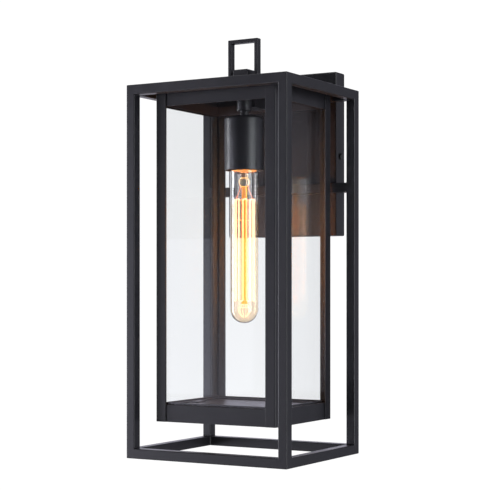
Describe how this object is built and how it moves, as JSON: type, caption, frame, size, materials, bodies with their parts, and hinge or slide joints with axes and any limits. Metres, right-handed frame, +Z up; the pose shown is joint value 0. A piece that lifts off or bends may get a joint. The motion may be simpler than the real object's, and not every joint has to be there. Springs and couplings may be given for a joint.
{
  "type": "outdoor wall lantern",
  "caption": "Box-frame outdoor wall lantern: slim open outer frame, glazed inner box with a hanging tubular lamp, and a rectangular wall plate.",
  "frame": {"origin": "centre of the bracket strap's back face, midway between the junction-box slots, on the wall plane", "axes": "+Z up, +Y into the wall, +X to the right as seen from in front of the lantern"},
  "size_m": [0.191, 0.182, 0.4413],
  "materials": {
    "black_powder_coat": "satin",
    "black_hardware": "satin",
    "zinc_steel": "satin",
    "green_screw": "satin",
    "black_foam": "matte",
    "clear_glass": "gloss",
    "terminal_plastic": "satin",
    "porcelain": "gloss",
    "brass": "satin",
    "lead_insulation": "satin",
    "lamp_cap": "satin",
    "vitrite": "gloss",
    "solder": "satin",
    "lamp_glass": "gloss",
    "lamp_wire": "satin",
    "filament": "satin"
  },
  "bodies": {
    "lantern": {"bottom_rail_front": "black_powder_coat", "bottom_rail_left": "black_powder_coat", "bottom_rail_rear": "black_powder_coat", "bottom_rail_right": "black_powder_coat", "bottom_skirt": "black_powder_coat", "corner_angle_front_left": "black_powder_coat", "corner_angle_front_right": "black_powder_coat", "corner_angle_rear_left": "black_powder_coat", "corner_angle_rear_right": "black_powder_coat", "finial_block": "black_powder_coat", "finial_loop": "black_powder_coat", "finial_screw": "zinc_steel", "frame_screws": "zinc_steel", "glass_front": "clear_glass", "glass_left": "clear_glass", "glass_rear": "clear_glass", "glass_retainers": "black_powder_coat", "glass_right": "clear_glass", "glass_seals": "black_foam", "ground_screw": "green_screw", "lock_nut": "zinc_steel", "plate_gasket": "black_foam", "post_end_caps": "black_powder_coat", "post_front_left": "black_powder_coat", "post_front_right": "black_powder_coat", "post_rear_left": "black_powder_coat", "post_rear_right": "black_powder_coat", "rear_crossbar": "black_powder_coat", "roof_plate": "black_powder_coat", "socket_body": "porcelain", "socket_contact": "brass", "socket_cup": "black_powder_coat", "socket_hickey": "zinc_steel", "socket_leads": "lead_insulation", "socket_screws": "zinc_steel", "socket_shell": "brass", "stem_collar": "black_powder_coat", "terminal_block": "terminal_plastic", "threaded_nipple": "black_hardware", "top_rail_front": "black_powder_coat", "top_rail_left": "black_powder_coat", "top_rail_rear": "black_powder_coat", "top_rail_right": "black_powder_coat", "top_skirt": "black_powder_coat", "wall_bracket": "zinc_steel", "wall_plate": "black_powder_coat", "wire_channel": "black_powder_coat", "wire_tube": "zinc_steel"},
    "lamp": {"bulb_cap": "lamp_cap", "bulb_insulator": "vitrite", "bulb_contact": "solder", "bulb_glass": "lamp_glass", "bulb_stem": "lamp_glass", "bulb_support_wires": "lamp_wire", "bulb_filament": "filament"},
    "floor_panel": {"floor_panel": "black_powder_coat"},
    "thumb_screw_left": {"thumb_screw_left": "black_hardware"},
    "thumb_screw_right": {"thumb_screw_right": "black_hardware"},
    "side_screw_left": {"side_screw_left": "black_hardware"},
    "side_screw_right": {"side_screw_right": "black_hardware"}
  },
  "joints": [
    {"name": "lamp_out", "type": "slide", "parent": "lantern", "child": "lamp", "axis": [0, 0, -1], "range_m": [0, 0.045]},
    {"name": "floor_drop", "type": "slide", "parent": "lantern", "child": "floor_panel", "axis": [0, 0, -1], "range_m": [0, 0.06]},
    {"name": "thumb_screw_left_turn", "type": "hinge", "parent": "floor_panel", "child": "thumb_screw_left", "pos_m": [-0.06, -0.101, -0.275], "axis": [0, 0, 1], "continuous": true},
    {"name": "thumb_screw_right_turn", "type": "hinge", "parent": "floor_panel", "child": "thumb_screw_right", "pos_m": [0.06, -0.101, -0.275], "axis": [0, 0, 1], "continuous": true},
    {"name": "side_screw_left_out", "type": "slide", "parent": "lantern", "child": "side_screw_left", "axis": [-1, 0, 0], "range_m": [0, 0.012]},
    {"name": "side_screw_right_out", "type": "slide", "parent": "lantern", "child": "side_screw_right", "axis": [1, 0, 0], "range_m": [0, 0.012]}
  ]
}
